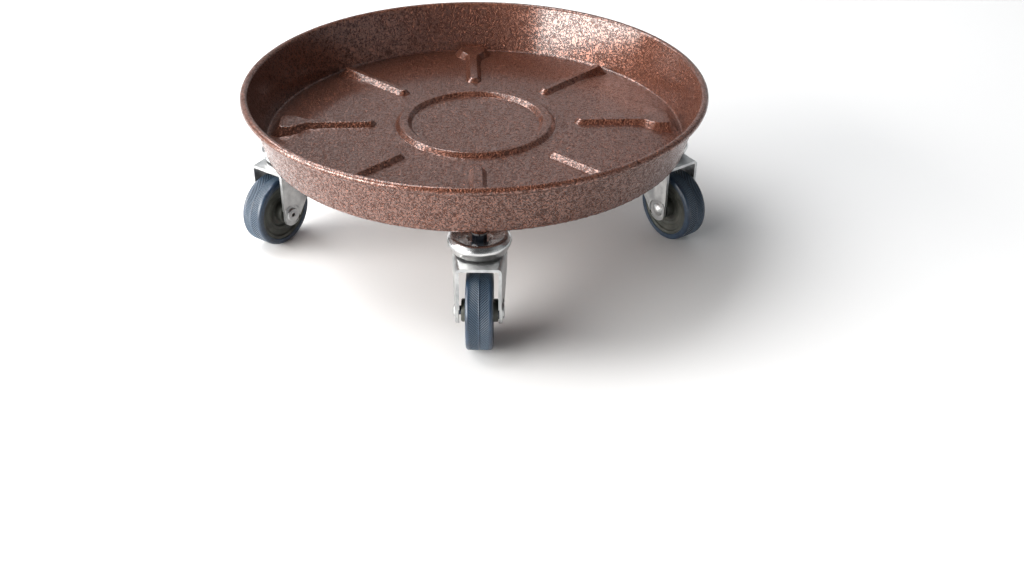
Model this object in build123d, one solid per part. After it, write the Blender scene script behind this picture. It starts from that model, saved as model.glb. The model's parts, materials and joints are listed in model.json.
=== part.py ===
"""Plant pot caddy: a pressed steel pan on four swivel casters. Millimetres, +Z up, floor at Z = 0.

The heights are worked out from the floor upwards: wheel, fork, swivel bearing, stem, boss, pan.
A caster is modelled on its own swivel axis, trailing along +X, and then set at its station.
"""

import os
from math import atan2, cos, degrees, hypot, pi, radians, sin

from build123d import *

# Wheel
WHEEL_RADIUS = 25.0
TREAD_WIDTH = 17.2
TREAD_FLAT = 13.2
SHOULDER_RADIUS = 2.2
TYRE_DEPTH = 4.4
RIM_FACE_WIDTH = 16.2
WEB_FACE_WIDTH = 13.6
DISH_FACE_WIDTH = 11.0
WEB_RADIUS = 17.6
DISH_RADIUS = 10.8
HUB_RADIUS = 7.3
HUB_LENGTH = 23.2
HUB_CHAMFER = 0.6

# Axle
AXLE_RADIUS = 2.2
AXLE_BORE_RADIUS = 1.5
AXLE_BORE_DEPTH = 7.0
AXLE_HEAD_RADIUS = 4.9
AXLE_HEAD_HEIGHT = 1.9
AXLE_TAIL_RADIUS = 4.8
AXLE_TAIL_HEIGHT = 1.2
SLEEVE_WALL = 0.6
HUB_WASHER_RADIUS = 5.6
HUB_WASHER_THICKNESS = 0.6
HUB_SIDE_PLAY = 1.6

# Fork
FORK_SHEET = 2.0
FORK_TRAIL = 18.5
WHEEL_HEADROOM = 6.6
FORK_BEND_RADIUS = 3.0
LEG_TOE_IN = 0.1
LEG_SPLAY = 6.5
LEG_PAD_RADIUS = 7.6
LEG_END_RADIUS = 6.4
LEG_END_DROP = 2.0
LEG_LEAN = 33.0
LEG_LEAD = 3.0
CROWN_NOSE_RADIUS = 18.4
EDGE_ROUND = 0.35

# Swivel bearing
BALL_RADIUS = 2.0
BALL_PITCH_RADIUS = 9.8
BALL_COUNT = 12
LOWER_BALL_RADIUS = 1.5
LOWER_BALL_PITCH_RADIUS = 7.4
LOWER_BALL_COUNT = 10
RACE_RISE = 3.7
RACE_TOP_RADIUS = 11.9
RACE_SLOPE = 1.3
LOWER_RACE_RADIUS = 10.4
LOWER_RACE_LIP = 1.0
CUP_SHEET = 1.4
CUP_DISH = 2.3
CUP_DISH_ENTRY = 1.35
CUP_CREST_RADIUS = 17.2
CUP_CREST_RISE = 2.6
CUP_RADIUS = 20.7
CUP_SHOULDER_DROP = 3.3
CUP_FOOT_RADIUS = 18.1
CUP_HEIGHT = 9.8

# Stem and its fixing
SHANK_RADIUS = 3.5
STEM_HEAD_RADIUS = 5.8
STEM_HEAD_HEIGHT = 2.0
HEX_ACROSS_FLATS = 8.0
HEX_HEIGHT = 5.2
THREAD_RADIUS = 3.0
THREAD_END_GAP = 0.6
WASHER_THICKNESS = 1.5
WASHER_WIDTH = 1.9
WASHER_SPLIT = 0.8
BOSS_RADIUS = 5.5
BOSS_HEIGHT = 13.4
BOSS_CHAMFER = 1.0

# Pan
RIM_RADIUS = 160.0
BEAD_RADIUS = 2.65
BEAD_TURN = 290.0
PAN_SHEET = 1.0
PAN_DEPTH = 33.5
WALL_FLARE = 13.9
CORNER_RADIUS = 2.0
DRAIN_DROP = 4.0
DRAIN_WIDTH = 38.0
DRAIN_STEPS = 3
DRAIN_BEND_RADIUS = 90.0
EMBOSS_HEIGHT = 3.2
EMBOSS_RUN = 3.0
EMBOSS_ROUND = 1.2
RING_INNER_RADIUS = 45.0
RING_OUTER_RADIUS = 56.0
RIB_COUNT = 8
RIB_START_RADIUS = 72.5
RIB_TOP_WIDTH = 5.5
PLAIN_RIB_TOP_WIDTH = 4.2
PAD_TOP_WIDTH = 18.0
PAD_REACH = 5.0
PAD_LENGTH = 9.5
FLARE_LENGTH = 9.0
CASTER_INSET = 14.6

# Clearances, all radial or along one gap
RUNNING_CLEARANCE = 0.06
SEAT_CLEARANCE = 0.02
BALL_CLEARANCE = 0.05
END_PLAY = 0.1
WASHER_CLEARANCE = 0.1

# name, where the caster stands round the pan, the heading that it trails along (degrees),
# and the end of its side play that the wheel has slid to: 1 for the tail leg, -1 for the head leg
STATIONS = (
    ("front", -90.0, -92.5, 1),
    ("right", 0.0, -56.0, 1),
    ("back", 90.0, 82.0, 1),
    ("left", 180.0, -127.0, -1),
)

# Heights from the floor up, and the places that follow from the sizes above
AXLE_Z = WHEEL_RADIUS
LEG_GAP = (HUB_LENGTH + HUB_WASHER_THICKNESS + HUB_SIDE_PLAY + END_PLAY) / 2
WHEEL_MIDDLE = HUB_WASHER_THICKNESS / 2
WHEEL_SLIDE = (HUB_SIDE_PLAY - END_PLAY) / 2
SLEEVE_RADIUS = AXLE_RADIUS + SEAT_CLEARANCE + SLEEVE_WALL
CROWN_UNDER_Z = 2 * WHEEL_RADIUS + WHEEL_HEADROOM
CROWN_TOP_Z = CROWN_UNDER_Z + FORK_SHEET
RACE_TOP_Z = CROWN_TOP_Z + RACE_RISE
RACE_UNDER_Z = RACE_TOP_Z - FORK_SHEET
BALL_Z = RACE_TOP_Z + BALL_CLEARANCE + BALL_RADIUS
CUP_TRACK_Z = BALL_Z + BALL_RADIUS + BALL_CLEARANCE + CUP_SHEET
CUP_SEAT_Z = CUP_TRACK_Z - CUP_DISH
CUP_CREST_Z = CUP_TRACK_Z + CUP_CREST_RISE
LOWER_BALL_Z = RACE_UNDER_Z - BALL_CLEARANCE - LOWER_BALL_RADIUS
LOWER_RACE_TOP_Z = LOWER_BALL_Z - LOWER_BALL_RADIUS - BALL_CLEARANCE
LOWER_RACE_UNDER_Z = LOWER_RACE_TOP_Z - CUP_SHEET
HEX_TOP_Z = CUP_SEAT_Z + HEX_HEIGHT
BOSS_FOOT_Z = HEX_TOP_Z + WASHER_THICKNESS
PAD_UNDER_Z = BOSS_FOOT_Z + BOSS_HEIGHT
PAD_TOP_Z = PAD_UNDER_Z + PAN_SHEET
FLOOR_Z = PAD_TOP_Z - EMBOSS_HEIGHT
GUTTER_Z = FLOOR_Z - DRAIN_DROP
BEAD_Z = GUTTER_Z + PAN_DEPTH
BASE_RADIUS = RIM_RADIUS - WALL_FLARE
SWIVEL_RADIUS = BASE_RADIUS - CASTER_INSET
EMBOSS_DRAFT = degrees(atan2(EMBOSS_RUN, EMBOSS_HEIGHT))


def turned(section):
    """A solid of revolution about Z from a face in the XZ plane."""
    return revolve(section, Axis.Z)


def sheet_section(centre_line, thickness, inner_radius=0.0):
    """The section of a pressed sheet: its centre line thickened, and cut off at its hole."""
    face = make_face(offset(centre_line, amount=thickness / 2, side=Side.BOTH).edges())
    reach = 2 * RIM_RADIUS
    keep = Plane.XZ * Pos(inner_radius + reach / 2, 0) * Rectangle(reach, 2 * reach)
    return face & keep


def in_section(points):
    """(radius, height) pairs as points of the XZ plane."""
    return [(r, 0, z) for r, z in points]


# ---------------------------------------------------------------- pan


def drain_path():
    """Where the floor starts to fall, and the steps of its growing slope to the wall."""
    half = PAN_SHEET / 2
    shares = [k / DRAIN_STEPS for k in range(DRAIN_STEPS + 1)]
    start = BASE_RADIUS - DRAIN_WIDTH
    return [(start + DRAIN_WIDTH * s, FLOOR_Z - half - DRAIN_DROP * s**1.5) for s in shares]


def bead_path(corner):
    """The wall from the floor's corner up to the rolled rim, and the roll itself."""
    roll = BEAD_RADIUS - PAN_SHEET / 2
    centre = (RIM_RADIUS - BEAD_RADIUS, BEAD_Z)
    run = (centre[0] - corner[0], centre[1] - corner[1])
    reach = hypot(*run)
    heading = atan2(run[1], run[0]) + atan2(roll, (reach**2 - roll**2) ** 0.5)
    start = heading + pi / 2
    foot = (centre[0] + roll * cos(start), centre[1] + roll * sin(start))
    angles = [start - radians(BEAD_TURN) * k / 2 for k in range(3)]
    arc = [(centre[0] + roll * cos(a), centre[1] + roll * sin(a)) for a in angles]
    return foot, arc


def pan_section():
    floor = FLOOR_Z - PAN_SHEET / 2
    drain = drain_path()
    foot, arc = bead_path(drain[-1])
    points = [
        (-RING_INNER_RADIUS, floor),
        (RING_INNER_RADIUS, floor),
        (RING_INNER_RADIUS + EMBOSS_RUN, floor + EMBOSS_HEIGHT),
        (RING_OUTER_RADIUS - EMBOSS_RUN, floor + EMBOSS_HEIGHT),
        (RING_OUTER_RADIUS, floor),
        *drain,
        foot,
    ]
    bends = [EMBOSS_ROUND] * 4 + [DRAIN_BEND_RADIUS] * DRAIN_STEPS + [CORNER_RADIUS]
    line = FilletPolyline(*in_section(points), radius=bends)
    roll = ThreePointArc(*in_section(arc))
    return sheet_section(Wire(line.edges() + roll.edges()), PAN_SHEET)


def flared_outline():
    """Seen from above, a rib that widens to a pad over a caster, and the radii of its bends."""
    end = SWIVEL_RADIUS + PAD_REACH
    pad = end - PAD_LENGTH
    flare = pad - FLARE_LENGTH
    bar_half = RIB_TOP_WIDTH / 2
    pad_half = PAD_TOP_WIDTH / 2
    outline = [
        (RIB_START_RADIUS, -bar_half),
        (flare, -bar_half),
        (pad, -pad_half),
        (end, -pad_half),
        (end, pad_half),
        (pad, pad_half),
        (flare, bar_half),
        (RIB_START_RADIUS, bar_half),
    ]
    tip = bar_half - 0.15
    return outline, [tip, 12.0, 8.0, 3.0, 3.0, 8.0, 12.0, tip]


def plain_outline():
    """Seen from above, a straight rib between two casters, and the radii of its ends."""
    end = SWIVEL_RADIUS + PAD_REACH
    half = PLAIN_RIB_TOP_WIDTH / 2
    outline = [(RIB_START_RADIUS, -half), (end, -half), (end, half), (RIB_START_RADIUS, half)]
    return outline, [half - 0.15] * 4


def rib(flared, lift=0.0):
    """One radial rib with sloping sides, from under the pan's floor up to its level top."""
    outline, bends = flared_outline() if flared else plain_outline()
    top = make_face(FilletPolyline(*outline, radius=bends, close=True).edges())
    depth = PAD_TOP_Z - (GUTTER_Z - PAN_SHEET)
    block = extrude(Pos(0, 0, PAD_TOP_Z) * top, amount=-depth, taper=-EMBOSS_DRAFT)
    block = fillet(block.faces().sort_by(Axis.Z)[-1].edges(), EMBOSS_ROUND)
    return Pos(0, 0, lift) * block


def over_the_floor():
    """The space above the floor's middle surface, which trims the ribs to the floor."""
    top = PAD_TOP_Z + PAN_SHEET
    points = [(0, FLOOR_Z - PAN_SHEET / 2), *drain_path(), (BASE_RADIUS, top), (0, top)]
    return turned(make_face(Polyline(*in_section(points), close=True).edges()))


def pan():
    body = turned(pan_section())
    for k in range(RIB_COUNT):
        crest = rib(k % 2 == 0) & over_the_floor()
        body = body + Rot(0, 0, 360 / RIB_COUNT * k) * crest
    for k in range(RIB_COUNT):
        hollow = rib(k % 2 == 0, -PAN_SHEET)
        body = body - Rot(0, 0, 360 / RIB_COUNT * k) * hollow
    return body


# ---------------------------------------------------------------- stem and its fixing


def threaded_boss():
    """Round tapped boss, welded under the pan's pad."""
    bore = THREAD_RADIUS + SEAT_CLEARANCE
    boss = Pos(0, 0, BOSS_FOOT_Z) * extrude(Circle(BOSS_RADIUS) - Circle(bore), BOSS_HEIGHT)
    rim = boss.faces().sort_by(Axis.Z)[-1].edges().sort_by(SortBy.LENGTH)[-1]
    return chamfer(rim, BOSS_CHAMFER)


def lock_washer():
    inner = THREAD_RADIUS + WASHER_CLEARANCE
    ring = Circle(inner + WASHER_WIDTH) - Circle(inner)
    split = Pos(inner + WASHER_WIDTH / 2, 0) * Rectangle(2 * WASHER_WIDTH, WASHER_SPLIT)
    return Pos(0, 0, HEX_TOP_Z) * extrude(ring - split, WASHER_THICKNESS)


def stem():
    """Kingpin: peened foot, bearing shank, spanner hexagon and threaded end in one piece."""
    head_foot = LOWER_RACE_UNDER_Z - STEM_HEAD_HEIGHT
    dome = [
        (0, head_foot),
        (0, LOWER_RACE_UNDER_Z),
        (STEM_HEAD_RADIUS, LOWER_RACE_UNDER_Z),
        (STEM_HEAD_RADIUS - 0.9, head_foot + 0.6),
        (STEM_HEAD_RADIUS - 2.6, head_foot),
    ]
    head = turned(make_face(Polyline(*in_section(dome), close=True).edges()))
    shank = Pos(0, 0, LOWER_RACE_UNDER_Z) * extrude(
        Circle(SHANK_RADIUS), CUP_SEAT_Z - LOWER_RACE_UNDER_Z
    )
    flats = RegularPolygon(HEX_ACROSS_FLATS / 2, 6, major_radius=False, rotation=30)
    hexagon = Pos(0, 0, CUP_SEAT_Z) * extrude(flats, HEX_HEIGHT)
    length = PAD_UNDER_Z - THREAD_END_GAP - HEX_TOP_Z
    thread = Pos(0, 0, HEX_TOP_Z) * extrude(Circle(THREAD_RADIUS), length)
    thread = chamfer(thread.faces().sort_by(Axis.Z)[-1].edges(), 0.6)
    return head + shank + hexagon + thread


# ---------------------------------------------------------------- swivel bearing


def swivel_cup():
    """Upper race drawn as a deep bowl: dished middle over the balls, high crest, inturned wall."""
    half = CUP_SHEET / 2
    track = BALL_PITCH_RADIUS - CUP_DISH_ENTRY
    points = [
        (0, CUP_SEAT_Z - half),
        (track - CUP_DISH, CUP_SEAT_Z - half),
        (track, CUP_TRACK_Z - half),
        (CUP_CREST_RADIUS, CUP_CREST_Z - half),
        (CUP_RADIUS - half, CUP_CREST_Z - half - CUP_SHOULDER_DROP),
        (CUP_FOOT_RADIUS - half, CUP_CREST_Z - CUP_HEIGHT),
    ]
    line = FilletPolyline(*in_section(points), radius=[1.2, 1.2, 1.8, 2.6])
    return turned(sheet_section(line, CUP_SHEET, SHANK_RADIUS + SEAT_CLEARANCE))


def ball_ring(count, pitch_radius, radius, height):
    ring = [Rot(0, 0, 360 / count * k) * Pos(pitch_radius, 0, height) for k in range(count)]
    return Compound(children=[place * Sphere(radius) for place in ring])


def upper_balls():
    return ball_ring(BALL_COUNT, BALL_PITCH_RADIUS, BALL_RADIUS, BALL_Z)


def lower_balls():
    return ball_ring(LOWER_BALL_COUNT, LOWER_BALL_PITCH_RADIUS, LOWER_BALL_RADIUS, LOWER_BALL_Z)


def lower_race():
    """Flat washer with a turned-up lip, held by the stem's peened foot."""
    half = CUP_SHEET / 2
    level = LOWER_RACE_TOP_Z - half
    points = [
        (0, level),
        (LOWER_RACE_RADIUS - half, level),
        (LOWER_RACE_RADIUS - half, level + half + LOWER_RACE_LIP),
    ]
    line = FilletPolyline(*in_section(points), radius=1.0)
    return turned(sheet_section(line, CUP_SHEET, SHANK_RADIUS + SEAT_CLEARANCE))


# ---------------------------------------------------------------- fork


def leg_outline():
    """The fork from the side: upright trailing edge, round end, leaning leading edge."""
    trail_edge = FORK_TRAIL + LEG_END_RADIUS
    end_z = AXLE_Z - LEG_END_DROP
    lean = radians(LEG_LEAN)
    touch = (
        FORK_TRAIL - LEG_END_RADIUS * cos(lean),
        end_z - LEG_END_RADIUS * sin(lean),
    )
    rise = CROWN_UNDER_Z - touch[1]
    shoulder = (touch[0] - rise * sin(lean) / cos(lean), CROWN_UNDER_Z)
    low = (
        FORK_TRAIL,
        end_z - LEG_END_RADIUS,
    )
    nose = -CROWN_NOSE_RADIUS
    top = CROWN_TOP_Z + RACE_RISE
    outline = [
        Line((nose, 0, top), (trail_edge, 0, top)),
        Line((trail_edge, 0, top), (trail_edge, 0, end_z)),
        ThreePointArc((trail_edge, 0, end_z), (low[0], 0, low[1]), (touch[0], 0, touch[1])),
        Line((touch[0], 0, touch[1]), (shoulder[0], 0, shoulder[1])),
        Line((shoulder[0], 0, shoulder[1]), (nose, 0, CROWN_UNDER_Z)),
        Line((nose, 0, CROWN_UNDER_Z), (nose, 0, top)),
    ]
    return make_face(outline)


def leg_pads(start, end):
    """The pair of flat coined discs round the axle hole, between two distances from the wheel."""
    disc = extrude(Circle(LEG_PAD_RADIUS), end - start)
    return on_axle(Pos(0, 0, start) * disc) + on_axle(Pos(0, 0, -end) * disc)


def fork_channel(length):
    """The bent strip end on: level crown, rounded bends and legs that toe in a little."""
    half = LEG_GAP + FORK_SHEET / 2
    crown = CROWN_TOP_Z - FORK_SHEET / 2
    spread = LEG_TOE_IN / (crown - AXLE_Z)
    foot = AXLE_Z - LEG_END_DROP - LEG_END_RADIUS - FORK_SHEET
    low = half - (AXLE_Z - foot) * spread
    high = half + LEG_TOE_IN
    points = [(0, -low, foot), (0, -high, crown), (0, high, crown), (0, low, foot)]
    line = FilletPolyline(*points, radius=FORK_BEND_RADIUS - FORK_SHEET / 2)
    section = make_face(offset(line, amount=FORK_SHEET / 2, side=Side.BOTH).edges())
    return extrude(section, length / 2, both=True)


def splayed_channel(length):
    """The channel with its legs further apart at the crown than at the axle, seen from above."""
    axle = Pos(FORK_TRAIL, 0, 0)
    channel = fork_channel(length)
    half_space = Pos(0, length / 2, 0) * Box(2 * length, length, 4 * CROWN_TOP_Z)
    leg = (axle * Rot(0, 0, -LEG_SPLAY) * channel) & half_space
    return leg + mirror(leg, Plane.XZ)


def fork_plan():
    """What the strip keeps, seen from above: the legs and tail, and the crown's round nose."""
    reach = 2 * (CROWN_NOSE_RADIUS + FORK_TRAIL + LEG_END_RADIUS)
    tail = Pos(reach / 2 - LEG_LEAD, 0, 0) * Box(reach, reach, 4 * CROWN_TOP_Z)
    nose = Pos(0, 0, CROWN_UNDER_Z) * extrude(Circle(CROWN_NOSE_RADIUS), CROWN_TOP_Z)
    return tail + nose


def fork():
    """One pressed strip: crown with a raised race, and two legs bent down beside the wheel."""
    outer = LEG_GAP + FORK_SHEET
    reach = 2 * (CROWN_NOSE_RADIUS + FORK_TRAIL + LEG_END_RADIUS)
    pad = leg_pads(LEG_GAP, outer)
    strip = splayed_channel(reach) + pad - leg_pads(0, LEG_GAP) - leg_pads(outer, outer + 5)
    side = extrude(leg_outline(), 2 * outer, both=True)
    body = strip & side & fork_plan()
    race_foot = RACE_TOP_RADIUS + RACE_SLOPE
    race = turned(
        make_face(
            Polyline(
                *in_section(
                    [
                        (0, CROWN_UNDER_Z),
                        (race_foot, CROWN_UNDER_Z),
                        (race_foot, CROWN_TOP_Z),
                        (RACE_TOP_RADIUS, RACE_TOP_Z),
                        (0, RACE_TOP_Z),
                    ]
                ),
                close=True,
            ).edges()
        )
    )
    race = fillet(race.faces().sort_by(Axis.Z)[-1].edges(), 0.8)
    pocket_radius = race_foot - FORK_SHEET
    pocket = Pos(0, 0, CROWN_UNDER_Z) * extrude(
        Circle(pocket_radius), RACE_UNDER_Z - CROWN_UNDER_Z
    )
    hole = Cylinder(SHANK_RADIUS + RUNNING_CLEARANCE, 4 * CROWN_TOP_Z)
    axle_hole = Pos(FORK_TRAIL, 0, AXLE_Z) * Rot(90, 0, 0)
    axle_hole = axle_hole * Cylinder(AXLE_RADIUS + SEAT_CLEARANCE, 4 * outer)
    return body + race - pocket - hole - axle_hole


# ---------------------------------------------------------------- axle


def on_axle(shape):
    """Turns a shape made along +Z round its own origin so that it lies along -Y on the axle."""
    return Pos(FORK_TRAIL, 0, AXLE_Z) * Rot(90, 0, 0) * shape


def axle_rivet():
    """Semi-tubular rivet: domed head on one leg, rolled-over hollow tail on the other."""
    outer = LEG_GAP + FORK_SHEET
    dome = (AXLE_HEAD_RADIUS**2 + AXLE_HEAD_HEIGHT**2) / (2 * AXLE_HEAD_HEIGHT)
    head = Pos(0, 0, outer) * extrude(Circle(AXLE_HEAD_RADIUS), AXLE_HEAD_HEIGHT)
    head = head & Pos(0, 0, outer + AXLE_HEAD_HEIGHT - dome) * Sphere(dome)
    shank = Pos(0, 0, -outer) * extrude(Circle(AXLE_RADIUS), 2 * outer)
    tail = Pos(0, 0, -outer - AXLE_TAIL_HEIGHT) * extrude(
        Circle(AXLE_TAIL_RADIUS), AXLE_TAIL_HEIGHT
    )
    tail = fillet(tail.faces().sort_by(Axis.Z)[0].edges(), AXLE_TAIL_HEIGHT * 0.75)
    bore = Pos(0, 0, -outer - AXLE_TAIL_HEIGHT) * extrude(
        Circle(AXLE_BORE_RADIUS), AXLE_BORE_DEPTH
    )
    return on_axle(head + shank + tail - bore)


def axle_sleeve():
    ring = Circle(SLEEVE_RADIUS) - Circle(AXLE_RADIUS + SEAT_CLEARANCE)
    return on_axle(Pos(0, 0, -LEG_GAP) * extrude(ring, 2 * LEG_GAP))


def hub_washer():
    """Thrust washer between the hub and the tail leg."""
    ring = Circle(HUB_WASHER_RADIUS) - Circle(SLEEVE_RADIUS + WASHER_CLEARANCE)
    return on_axle(Pos(0, 0, -LEG_GAP) * extrude(ring, HUB_WASHER_THICKNESS))


# ---------------------------------------------------------------- wheel


def mirrored(points):
    """The right half of a wheel's section, and its mirror image, as one closed outline."""
    return points + [(-x, r) for x, r in reversed(points)]


def wheel_turned(points):
    """A wheel part from (offset from the middle, radius) pairs, turned about the axle."""
    outline = [(r, 0, x) for x, r in mirrored(points)]
    face = make_face(Polyline(*outline, close=True).edges())
    return on_axle(Pos(0, 0, WHEEL_MIDDLE) * turned(face))


def wheel_core():
    """Moulded plastic wheel: rim, stepped web, hub."""
    bore = SLEEVE_RADIUS + RUNNING_CLEARANCE
    rim = WHEEL_RADIUS - TYRE_DEPTH
    hub_end = HUB_LENGTH / 2
    points = [
        (hub_end, bore),
        (hub_end, HUB_RADIUS - HUB_CHAMFER),
        (hub_end - HUB_CHAMFER, HUB_RADIUS),
        (DISH_FACE_WIDTH / 2, HUB_RADIUS),
        (DISH_FACE_WIDTH / 2, DISH_RADIUS),
        (WEB_FACE_WIDTH / 2, DISH_RADIUS + 0.8),
        (WEB_FACE_WIDTH / 2, WEB_RADIUS),
        (RIM_FACE_WIDTH / 2, WEB_RADIUS + 0.8),
        (RIM_FACE_WIDTH / 2, rim),
    ]
    return wheel_turned(points)


def tyre():
    """Rubber tyre moulded on the core's rim: slightly crowned tread, round shoulders."""
    rim = WHEEL_RADIUS - TYRE_DEPTH
    half = TREAD_WIDTH / 2
    right = [
        (rim, 0, half - 0.4),
        (rim + 1.2, 0, half),
        (WHEEL_RADIUS - SHOULDER_RADIUS, 0, half),
    ]
    bend = half - TREAD_FLAT / 2
    diagonal = (
        WHEEL_RADIUS - SHOULDER_RADIUS * (1 - cos(pi / 4)),
        0,
        half - bend * (1 - sin(pi / 4)),
    )
    flat = (WHEEL_RADIUS - 0.15, 0, TREAD_FLAT / 2)

    def flip(p):
        return (p[0], 0, -p[2])

    edges = [
        Polyline(*right),
        ThreePointArc(right[2], diagonal, flat),
        ThreePointArc(flat, (WHEEL_RADIUS, 0, 0), flip(flat)),
        ThreePointArc(flip(flat), flip(diagonal), flip(right[2])),
        Polyline(*[flip(p) for p in reversed(right)]),
        Line(flip(right[0]), right[0]),
    ]
    section = make_face([e for line in edges for e in line.edges()])
    return on_axle(Pos(0, 0, WHEEL_MIDDLE) * turned(section))


# ---------------------------------------------------------------- assembly

FIXED = {"stem": stem, "swivel_cup": swivel_cup, "lower_race": lower_race}
TRAILING = {
    "fork": fork,
    "upper_balls": upper_balls,
    "lower_balls": lower_balls,
    "axle_rivet": axle_rivet,
    "axle_sleeve": axle_sleeve,
    "hub_washer": hub_washer,
}
ROLLING = {"wheel_core": wheel_core, "tyre": tyre}


def station_place(angle):
    return Rot(0, 0, angle) * Pos(SWIVEL_RADIUS, 0, 0)


def main():
    export_step(pan(), "parts/pan.step")
    places = [station_place(angle) for _, angle, _, _ in STATIONS]
    for name, make in {"threaded_bosses": threaded_boss, "lock_washers": lock_washer}.items():
        one = make()
        export_step(Compound(children=[place * one for place in places]), f"parts/{name}.step")
    fixed = {name: make() for name, make in FIXED.items()}
    trailing = {name: make() for name, make in TRAILING.items()}
    rolling = {name: make() for name, make in ROLLING.items()}
    for station, angle, heading, side in STATIONS:
        place = station_place(angle)
        for name, shape in fixed.items():
            export_step(place * shape, f"parts/{station}_{name}.step")
        turn = Rot(0, 0, heading - angle)
        for name, shape in trailing.items():
            export_step(place * turn * shape, f"parts/{station}_{name}.step")
        slide = Pos(0, side * WHEEL_SLIDE, 0)
        for name, shape in rolling.items():
            export_step(place * turn * slide * shape, f"parts/{station}_{name}.step")


os.makedirs("parts", exist_ok=True)
main()
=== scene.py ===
import json
from math import atan2, cos, pi, radians, sin

import bmesh
import bpy
from mathutils import Matrix, Vector

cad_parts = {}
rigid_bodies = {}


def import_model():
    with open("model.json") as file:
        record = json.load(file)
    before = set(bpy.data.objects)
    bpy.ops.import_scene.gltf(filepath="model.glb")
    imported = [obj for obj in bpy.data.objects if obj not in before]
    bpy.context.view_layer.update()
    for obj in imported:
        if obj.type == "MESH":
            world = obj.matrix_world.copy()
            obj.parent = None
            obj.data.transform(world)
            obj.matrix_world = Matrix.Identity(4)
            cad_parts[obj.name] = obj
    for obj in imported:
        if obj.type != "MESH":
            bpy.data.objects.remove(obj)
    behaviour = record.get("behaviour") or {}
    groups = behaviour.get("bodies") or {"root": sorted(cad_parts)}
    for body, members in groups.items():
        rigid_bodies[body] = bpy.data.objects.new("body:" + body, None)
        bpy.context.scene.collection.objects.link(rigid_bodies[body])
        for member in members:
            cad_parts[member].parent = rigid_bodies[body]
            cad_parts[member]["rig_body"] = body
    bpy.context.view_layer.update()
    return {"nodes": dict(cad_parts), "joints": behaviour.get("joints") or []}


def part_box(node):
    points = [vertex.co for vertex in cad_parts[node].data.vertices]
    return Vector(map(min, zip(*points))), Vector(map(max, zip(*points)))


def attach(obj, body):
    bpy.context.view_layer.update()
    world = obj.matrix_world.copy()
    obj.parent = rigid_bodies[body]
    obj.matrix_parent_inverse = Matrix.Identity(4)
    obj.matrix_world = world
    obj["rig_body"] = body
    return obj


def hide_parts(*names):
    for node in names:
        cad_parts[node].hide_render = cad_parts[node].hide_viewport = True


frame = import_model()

# ------------------------------------------------------------------ studio
# A pale seamless floor in a soft grey room with a white sweep behind it. A wide window of
# light stands low at the front left, with a faint fill across from it at the right, and a
# softbox hangs over the back left. The room is dimmer on the right and above the front.

scene = bpy.context.scene
scene.view_settings.view_transform = "Standard"

CAMERA_PLACE = (-0.01037, -0.79240, 0.45264)
CAMERA_TURN = (1.00190, -0.00790, -0.04170)
CAMERA_LENS = 43.262
CAMERA_SENSOR = 36

eye = bpy.data.cameras.new("camera")
eye.sensor_width = CAMERA_SENSOR
eye.lens = CAMERA_LENS
camera = bpy.data.objects.new("camera", eye)
camera.location = CAMERA_PLACE
camera.rotation_euler = CAMERA_TURN
scene.collection.objects.link(camera)
scene.camera = camera


class Wire:
    """A node socket that shader maths is written on, such as 1 - mask or height * 0.3."""

    def __init__(self, tree, socket=None):
        self.tree = tree
        self.socket = socket

    def node(self, kind, settings=None, sockets=None, out=0):
        """A new node: its settings first, then its socket values or links; gives one output."""
        made = self.tree.nodes.new(kind)
        for key, value in (settings or {}).items():
            setattr(made, key, value)
        for key, value in (sockets or {}).items():
            if isinstance(value, Wire):
                self.tree.links.new(value.socket, made.inputs[key])
            else:
                made.inputs[key].default_value = value
        return Wire(self.tree, made.outputs[out])

    def math(self, operation, *terms):
        """One Math node over numbers and wires."""
        return self.node("ShaderNodeMath", {"operation": operation}, dict(enumerate(terms)))

    def __add__(self, other):
        return self.math("ADD", self, other)

    def __sub__(self, other):
        return self.math("SUBTRACT", self, other)

    def __rsub__(self, other):
        return self.math("SUBTRACT", other, self)

    def __mul__(self, other):
        return self.math("MULTIPLY", self, other)

    def __abs__(self):
        return self.math("ABSOLUTE", self)

    __radd__ = __add__
    __rmul__ = __mul__

    def ramp(self, low, high, start=0.0, end=1.0):
        """A smooth step from start to end as this wire goes from low to high."""
        settings = {"interpolation_type": "SMOOTHSTEP"}
        sockets = {"Value": self, "From Min": low, "From Max": high, "To Min": start, "To Max": end}
        return self.node("ShaderNodeMapRange", settings, sockets)

    def tint(self, dark, light):
        """A colour between two colours, by this wire."""
        sockets = {"Factor": self}
        for key, colour in (("A", dark), ("B", light)):
            sockets[key] = colour if isinstance(colour, Wire) else (*colour, 1)
        return self.node("ShaderNodeMix", {"data_type": "RGBA"}, sockets, "Result")

    def facing(self, direction):
        """How nearly this unit vector points along a direction: 1 when it does."""
        settings = {"operation": "DOT_PRODUCT"}
        unit = tuple(Vector(direction).normalized())
        return self.node("ShaderNodeVectorMath", settings, {0: self, 1: unit}, "Value")


# Each patch of the room has a way it lies in, a span of facing over which it grows from
# nothing to full, and a strength: levels add light, and depths take a share of it away.
ROOM_TINT = (0.95, 0.975, 1.0, 1)
ROOM_LEVEL = 0.40
SHADE_WAY = (1.0, 0.25, 0.0)
SHADE_SPAN = (0.0, 0.9)
SHADE_DEPTH = 0.52
GLOOM_WAY = (0.0, -0.55, 0.83)
GLOOM_SPAN = (0.45, 0.95)
GLOOM_DEPTH = 0.8
WINDOW_WAY = (-0.86, -0.36, 0.28)
WINDOW_SPAN = (0.74, 0.98)
WINDOW_LEVEL = 1.6
FILL_WAY = (0.90, -0.38, 0.22)
FILL_SPAN = (0.80, 0.99)
FILL_LEVEL = 0.30
SWEEP_WAY = (-0.10, 1.0, 0.30)
SWEEP_SPAN = (0.35, 0.95)
SWEEP_LEVEL = 0.24

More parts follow.
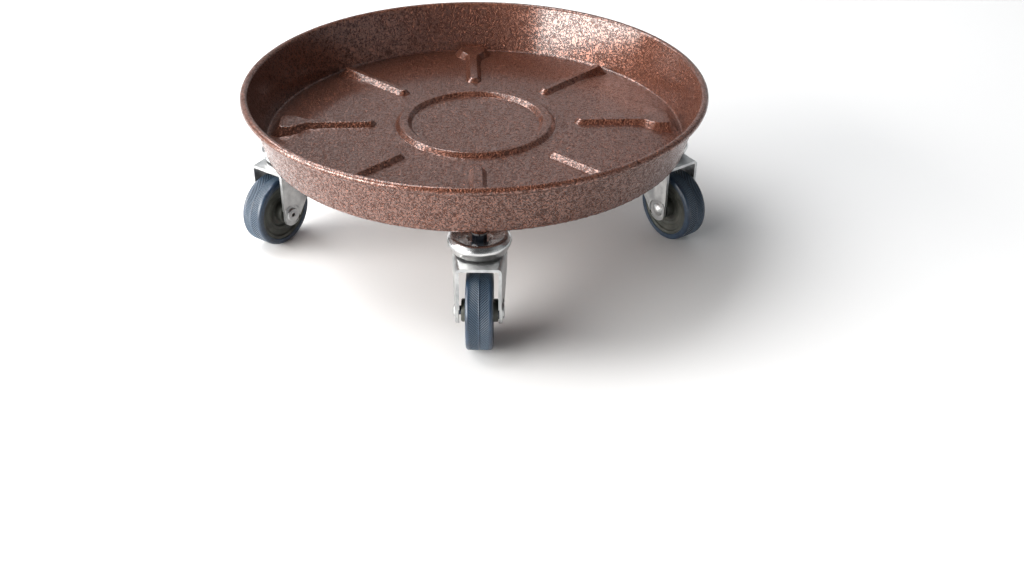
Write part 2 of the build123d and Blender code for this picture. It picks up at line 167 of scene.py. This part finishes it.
world = bpy.data.worlds.new("room")
world.use_nodes = True
room = world.node_tree
air = room.nodes["Background"]
air.inputs["Color"].default_value = ROOM_TINT
gaze = Wire(room).node("ShaderNodeTexCoord", out="Generated")
shade = gaze.facing(SHADE_WAY).ramp(*SHADE_SPAN)
gloom = gaze.facing(GLOOM_WAY).ramp(*GLOOM_SPAN)
window = gaze.facing(WINDOW_WAY).ramp(*WINDOW_SPAN)
fill = gaze.facing(FILL_WAY).ramp(*FILL_SPAN)
sweep = gaze.facing(SWEEP_WAY).ramp(*SWEEP_SPAN)
ambient = ROOM_LEVEL * (1 - SHADE_DEPTH * shade) * (1 - GLOOM_DEPTH * gloom)
level = ambient + WINDOW_LEVEL * window + FILL_LEVEL * fill + SWEEP_LEVEL * sweep
room.links.new(level.socket, air.inputs["Strength"])
scene.world = world

PAN_MIDDLE = Vector((0, 0, 0.09))


def softbox(name, way, distance, size, power, tint=(1, 1, 1)):
    """A rectangular area light that looks back at the pan from one direction."""
    light = bpy.data.lights.new(name, "AREA")
    light.shape = "RECTANGLE"
    light.size, light.size_y = size
    light.energy = power
    light.color = tint
    lamp = bpy.data.objects.new(name, light)
    lamp.location = PAN_MIDDLE + Vector(way).normalized() * distance
    lamp.rotation_euler = (PAN_MIDDLE - lamp.location).to_track_quat("-Z", "Y").to_euler()
    lamp.visible_camera = False
    scene.collection.objects.link(lamp)


softbox(
    "window_softbox", way=(-0.88, -0.34, 0.28), distance=1.7, size=(2.0, 0.9), power=60,
    tint=(1.0, 0.97, 0.93),
)
softbox("overhead_softbox", way=(-0.60, 0.35, 1.0), distance=2.2, size=(1.8, 1.8), power=56)


def put(mesh, name):
    """Mesh data as an object of the scene, at the origin."""
    piece = bpy.data.objects.new(name, mesh)
    scene.collection.objects.link(piece)
    return piece


def mesh_from(shape, name):
    """A finished bmesh as mesh data; the bmesh is freed."""
    mesh = bpy.data.meshes.new(name)
    shape.to_mesh(mesh)
    shape.free()
    return mesh


def finish_of(name, **constants):
    """A material with constants on its shader; gives it, the shader and its object's space."""
    material = bpy.data.materials.new(name)
    material.use_nodes = True
    shader = material.node_tree.nodes["Principled BSDF"]
    for key, value in constants.items():
        shader.inputs[key.replace("_", " ")].default_value = value
    here = Wire(material.node_tree).node("ShaderNodeTexCoord", out="Object")
    return material, shader, here


def feed(shader, **wires):
    """Links wires to the shader's sockets by name."""
    for key, wire in wires.items():
        wire.tree.links.new(wire.socket, shader.inputs[key.replace("_", " ")])


def noise(here, scale, detail=2.0, roughness=0.5, distortion=0.0):
    """Cloudy noise from 0 to 1; scale is features to the metre."""
    sockets = {"Vector": here, "Scale": scale, "Detail": detail, "Roughness": roughness}
    sockets["Distortion"] = distortion
    return here.node("ShaderNodeTexNoise", {"noise_dimensions": "3D"}, sockets, "Fac")


FLOOR_HALF = 6.0
FLOOR_DARK = (0.84, 0.84, 0.84)
FLOOR_LIGHT = (0.88, 0.88, 0.88)

floor_shape = bmesh.new()
bmesh.ops.create_grid(floor_shape, x_segments=1, y_segments=1, size=FLOOR_HALF)
floor = put(mesh_from(floor_shape, "floor"), "floor")
floor_finish, shader, here = finish_of("pale_floor", Roughness=0.62)
feed(shader, Base_Color=noise(here, scale=3.0).tint(FLOOR_DARK, FLOOR_LIGHT))
floor.data.materials.append(floor_finish)

# ------------------------------------------------------------------ pan
# One sheet of steel pressed to a dish with a raised ring, eight ribs and a rolled rim. It is
# powder coated in a copper hammered finish, which gathers into glossy islands and leaves
# winding dark valleys between them.

WORM_SCALE = 460
WORM_WIDTH = 0.13
WORM_DEPTH = 0.00050
SPECK_HEIGHT = 0.15
VALLEY_GLOSS = 0.28
ISLAND_COPPER = (0.245, 0.098, 0.061)
VALLEY_COPPER = (0.088, 0.032, 0.020)
DUSKY_COPPER = (0.175, 0.064, 0.040)

SAME_POINT = 1e-6
SLIVER = 1e-7
FLAT_FACE_WEIGHT = 80


def bumped(height, distance, strength=1.0, under=None):
    """A normal from a height of 0 to 1 over a distance in metres, laid over another normal."""
    sockets = {"Height": height, "Distance": distance, "Strength": strength}
    if under:
        sockets["Normal"] = under
    return height.node("ShaderNodeBump", {}, sockets, "Normal")


def stand_for(piece, node):
    """Lets a piece ride with a CAD node's body and hides the node."""
    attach(piece, frame["nodes"][node]["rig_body"])
    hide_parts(node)


def skin_of(node, finish, smooth_angle=32, flat_angle=0.4):
    """A copy of a CAD solid's skin: its loose triangles joined and its round faces smooth."""
    shape = bmesh.new()
    shape.from_mesh(frame["nodes"][node].data)
    bmesh.ops.remove_doubles(shape, verts=shape.verts, dist=SAME_POINT)
    bmesh.ops.dissolve_degenerate(shape, edges=shape.edges, dist=SLIVER)
    if flat_angle:
        bmesh.ops.dissolve_limit(
            shape, angle_limit=radians(flat_angle), verts=shape.verts, edges=shape.edges
        )
    for face in shape.faces:
        face.smooth = True
        face.material_index = 0
    for edge in shape.edges:
        edge.smooth = edge.calc_face_angle(pi) < radians(smooth_angle)
    piece = put(mesh_from(shape, node + "_skin"), node + "_skin")
    piece.data.materials.clear()
    piece.data.materials.append(finish)
    even = piece.modifiers.new("even_shading", "WEIGHTED_NORMAL")
    even.keep_sharp = True
    even.weight = FLAT_FACE_WEIGHT
    stand_for(piece, node)
    return piece


copper, shader, here = finish_of(
    "copper_hammered_coat", Metallic=1.0, Coat_Roughness=0.18, Coat_IOR=1.75
)
worms = noise(here, scale=WORM_SCALE, detail=1.2, roughness=0.45, distortion=0.9)
island = abs(worms - 0.5).ramp(0.0, WORM_WIDTH)
pool = noise(here, scale=26)
speck = noise(here, scale=1500, detail=1.0)
crest = speck.tint(DUSKY_COPPER, ISLAND_COPPER)
feed(
    shader,
    Base_Color=island.tint(VALLEY_COPPER, crest),
    Roughness=0.50 - 0.20 * island + 0.06 * pool,
    Coat_Weight=island.ramp(0.1, 0.9, start=VALLEY_GLOSS, end=1.0),
    Normal=bumped(island + SPECK_HEIGHT * speck, WORM_DEPTH),
)
skin_of("pan", copper, flat_angle=0)

# ------------------------------------------------------------------ bosses and lock washers
# Round tapped steel bosses, welded under the pan's pads and coated with it. A bright split
# washer is squeezed between each boss and the hexagon of the stem that is screwed into it.

ZINC_DARK = (0.36, 0.37, 0.38)
ZINC_LIGHT = (0.66, 0.67, 0.665)
ZINC_DENTS = 0.00010
ZINC_GRAIN = 0.00003

zinc, shader, here = finish_of("zinc_plate", Metallic=1.0)
cloud = noise(here, scale=85, detail=3.0, roughness=0.6)
grain = noise(here, scale=1300)
handled = noise(here, scale=420, detail=4.0, roughness=0.65)
grainy = bumped(grain, ZINC_GRAIN, strength=0.5)
feed(
    shader,
    Base_Color=cloud.ramp(0.25, 0.7).tint(ZINC_DARK, ZINC_LIGHT),
    Roughness=0.28 + 0.16 * cloud + 0.10 * handled,
    Normal=bumped(handled, ZINC_DENTS, strength=0.35, under=grainy),
)
skin_of("threaded_bosses", copper)
skin_of("lock_washers", zinc)

# ------------------------------------------------------------------ stems
# Each stem is one turned kingpin of dark blued steel: a peened foot under the bearing, a
# spanner hexagon over it, and a threaded end that is screwed up into its boss.

STATIONS = ("front", "right", "back", "left")
BLUED_DARK = (0.030, 0.040, 0.060)
BLUED_LIGHT = (0.115, 0.135, 0.170)
BLUED_GRAIN = 0.00003

blued, shader, here = finish_of("blued_steel", Metallic=0.9)
cloud = noise(here, scale=170, detail=3.0)
feed(
    shader,
    Base_Color=cloud.ramp(0.3, 0.75).tint(BLUED_DARK, BLUED_LIGHT),
    Roughness=0.24 + 0.2 * cloud,
    Normal=bumped(noise(here, scale=900), BLUED_GRAIN, strength=0.5),
)
for station in STATIONS:
    skin_of(f"{station}_stem", blued)

# ------------------------------------------------------------------ swivel bearings
# The cup over each fork is drawn from sheet as a deep bowl, polished and bright plated. Hard
# balls run under it on the crown of the fork, and a second ring runs on a small lower race.

BRIGHT_DARK = (0.40, 0.41, 0.425)
BRIGHT_LIGHT = (0.70, 0.70, 0.69)
BRIGHT_RIPPLE = 0.00012
RACE_SMOOTH = 50
BALL_SMOOTH = 60

bright, shader, here = finish_of("bright_plate", Metallic=1.0)
cloud = noise(here, scale=75)
haze = noise(here, scale=380, detail=3.0, roughness=0.6)
feed(
    shader,
    Base_Color=cloud.ramp(0.25, 0.65).tint(BRIGHT_DARK, BRIGHT_LIGHT),
    Roughness=0.17 + 0.14 * haze,
    Normal=bumped(noise(here, scale=190), BRIGHT_RIPPLE, strength=0.35),
)
for station in STATIONS:
    skin_of(f"{station}_swivel_cup", bright, smooth_angle=RACE_SMOOTH)
    skin_of(f"{station}_upper_balls", bright, smooth_angle=BALL_SMOOTH)
    skin_of(f"{station}_lower_balls", bright, smooth_angle=BALL_SMOOTH)
    skin_of(f"{station}_lower_race", zinc, smooth_angle=RACE_SMOOTH)

# ------------------------------------------------------------------ forks
# Each fork is one strip of steel: a round crown with a raised race, and two legs bent down
# beside the wheel, coined flat round the axle holes. The blank is zinc plated after pressing.

SHEET_EDGE_ROUND = 0.00038
SHEET_EDGE_ANGLE = 50
FORK_SMOOTH = 30

for station in STATIONS:
    fork = skin_of(f"{station}_fork", zinc, smooth_angle=FORK_SMOOTH)
    rounding = fork.modifiers.new("rolled_edges", "BEVEL")
    rounding.width = SHEET_EDGE_ROUND
    rounding.segments = 2
    rounding.limit_method = "ANGLE"
    rounding.angle_limit = radians(SHEET_EDGE_ANGLE)
    fork.modifiers.move(1, 0)  # the edges are rolled before the shading is evened

# ------------------------------------------------------------------ axles
# A semi-tubular rivet through both legs is the axle: a domed head on one side and a rolled
# hollow tail on the other. The wheel turns on a dark sleeve round it, beside a thrust washer.

for station in STATIONS:
    skin_of(f"{station}_axle_rivet", zinc)
    skin_of(f"{station}_axle_sleeve", blued)
    skin_of(f"{station}_hub_washer", blued)

# ------------------------------------------------------------------ wheel cores
# The core is moulded in dark olive-grey plastic: a wide rim, a stepped web and a hub that
# stands out on both sides of it, with the soft corners and faint rings of its mould.

MM = 0.001
SEAM_GAP = 1e-7
CORE_STEPS = 96
CORE_SMOOTH = 40
CORE_PITS = 0.00004
CORE_DARK = (0.030, 0.032, 0.026)
CORE_LIGHT = (0.066, 0.070, 0.058)
CORE_HALF = (
    (11.60, 3.10), (11.60, 6.60), (11.35, 7.05), (11.00, 7.28), (7.20, 7.30), (5.60, 7.35),
    (5.50, 7.60), (5.50, 10.50), (5.62, 10.85), (6.60, 11.45), (6.80, 11.75), (6.80, 14.00),
    (6.95, 14.10), (6.95, 14.45), (6.80, 14.55), (6.80, 17.30), (6.92, 17.70), (7.90, 18.30),
    (8.08, 18.60), (8.10, 20.55),
)


def wheel_frame(station):
    """The place of a wheel: local X along its axle, Z up, and the origin at its middle."""
    joint = {j["name"]: j for j in frame["joints"]}[station + "_wheel_roll"]
    low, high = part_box(station + "_tyre")
    axle = Vector(joint["axis"]).normalized()
    up = Vector((0, 0, 1))
    turn = Matrix((axle, up.cross(axle), up)).transposed().to_4x4()
    return Matrix.Translation((low + high) / 2) @ turn


def both_sides(half):
    """The outline of a part that is the same on both sides of the wheel's middle."""
    return list(half) + [(-offset, radius) for offset, radius in reversed(half)]


def spun_ring(profile, steps):
    """A closed outline of (offset along the axle, radius) points in mm, spun about local X."""
    shape = bmesh.new()
    ring = [shape.verts.new((offset * MM, 0, radius * MM)) for offset, radius in profile]
    edges = [shape.edges.new(pair) for pair in zip(ring, ring[1:] + ring[:1])]
    bmesh.ops.spin(
        shape, geom=ring + edges, cent=(0, 0, 0), axis=(1, 0, 0), angle=2 * pi,
        steps=steps, use_merge=True,
    )
    bmesh.ops.remove_doubles(shape, verts=shape.verts, dist=SEAM_GAP)
    bmesh.ops.recalc_face_normals(shape, faces=shape.faces)
    return shape


def seat_on_axle(shape, station, node, finish, smooth_angle):
    """Finishes a wheel part that was spun at the origin: shading, place, finish and body."""
    for face in shape.faces:
        face.smooth = True
    for edge in shape.edges:
        edge.smooth = edge.calc_face_angle(0) < radians(smooth_angle)
    bmesh.ops.transform(shape, matrix=wheel_frame(station), verts=shape.verts)
    name = f"{station}_{node}_ring"
    piece = put(mesh_from(shape, name), name)
    piece.data.materials.append(finish)
    stand_for(piece, f"{station}_{node}")


core, shader, here = finish_of("moulded_core")
cloud = noise(here, scale=130, detail=3.0)
pitting = noise(here, scale=1700)
feed(
    shader,
    Base_Color=cloud.ramp(0.3, 0.7).tint(CORE_DARK, CORE_LIGHT),
    Roughness=0.40 + 0.16 * cloud,
    Normal=bumped(pitting, CORE_PITS, strength=0.6),
)
for station in STATIONS:
    hub = spun_ring(both_sides(CORE_HALF), CORE_STEPS)
    seat_on_axle(hub, station, "wheel_core", core, smooth_angle=CORE_SMOOTH)

# ------------------------------------------------------------------ tyres
# A tyre of blue-grey rubber is moulded on each core. Its tread is a fine herringbone of ribs
# that run from the thin flash at the middle, where the mould parts, to the plain shoulders.

RIB_COUNT = 95
RIB_COLUMNS = 5
RIB_HIGH_COLUMNS = 2
RIB_SLANT = 1.0
RIB_CUT = 0.42
RIB_START = 0.6
RIB_END = 6.35
RIB_SLACK = 0.01
FLASH_HALF = 0.22
TREAD_RADIUS = 25.0
TREAD_FOOT = 24.865
TYRE_SMOOTH = 45
RUBBER_DUST = 0.00005
RUBBER_DARK = (0.006, 0.016, 0.034)
RUBBER_LIGHT = (0.028, 0.055, 0.096)
# A lighter colour, painted on the rib tops as a sheen where light catches them.
RUBBER_SHEEN = (0.078, 0.125, 0.178)
TYRE_HALF = (
    (8.20, 20.62), (8.45, 20.80), (8.58, 21.60), (8.60, 22.00), (8.52, 22.10), (8.52, 22.30),
    (8.60, 22.40), (8.58, 22.90), (8.45, 23.60), (8.12, 24.22), (7.60, 24.62), (7.05, 24.80),
    (6.60, 24.86), (RIB_END, 24.87), (5.20, 24.90), (4.05, 24.92), (2.90, 24.93), (1.75, 24.94),
    (0.62, 24.94), (FLASH_HALF + 0.12, 24.90), (FLASH_HALF, TREAD_RADIUS),
)


def cut_herringbone(shape):
    """Slants the tread's columns away from the middle and sinks those between the ribs. The rib
    tops are marked for a painted sheen and the sunk columns for painted shade.
    """
    groove = shape.verts.layers.float.new("groove")
    painted_sheen = shape.verts.layers.float.new("painted_sheen")
    step = 2 * pi / (RIB_COUNT * RIB_COLUMNS)
    for vert in shape.verts:
        offset = abs(vert.co.x) / MM
        radius = Vector((vert.co.y, vert.co.z)).length / MM
        angle = atan2(vert.co.y, vert.co.z)
        if radius > TREAD_FOOT and RIB_START < offset < RIB_END - RIB_SLACK:
            if round(angle / step) % RIB_COLUMNS >= RIB_HIGH_COLUMNS:
                radius -= RIB_CUT
                # the sunk columns are marked for painted shade in the grooves
                vert[groove] = 1.0
            # the raised rib tops are marked for a painted sheen
            else:
                vert[painted_sheen] = 1.0
        slanted = angle + RIB_SLANT * min(offset, RIB_END) / TREAD_RADIUS
        vert.co.y = radius * MM * sin(slanted)
        vert.co.z = radius * MM * cos(slanted)


rubber, shader, here = finish_of("blue_grey_rubber", IOR=1.6)
cloud = noise(here, scale=95, detail=3.0, roughness=0.6)
dust = noise(here, scale=600, detail=3.0, roughness=0.6)
groove = here.node("ShaderNodeAttribute", {"attribute_name": "groove"}, out="Fac")
painted_sheen = here.node("ShaderNodeAttribute", {"attribute_name": "painted_sheen"}, out="Fac")
bloom = (0.6 * cloud + 0.4 * dust).ramp(0.3, 0.7)
moulded = bloom.tint(RUBBER_DARK, RUBBER_LIGHT)
# Painted sheen: the rib tops are lightened in colour where light catches them.
sheened_rubber = painted_sheen.tint(moulded, RUBBER_SHEEN)
# Painted shade: the grooves between the ribs take the darkest rubber colour.
feed(
    shader,
    Base_Color=groove.tint(sheened_rubber, RUBBER_DARK),
    Roughness=0.25 + 0.14 * cloud + 0.4 * groove,
    Normal=bumped(dust, RUBBER_DUST, strength=0.5),
)
for station in STATIONS:
    tyre = spun_ring(both_sides(TYRE_HALF), RIB_COUNT * RIB_COLUMNS)
    cut_herringbone(tyre)
    seat_on_axle(tyre, station, "tyre", rubber, smooth_angle=TYRE_SMOOTH)
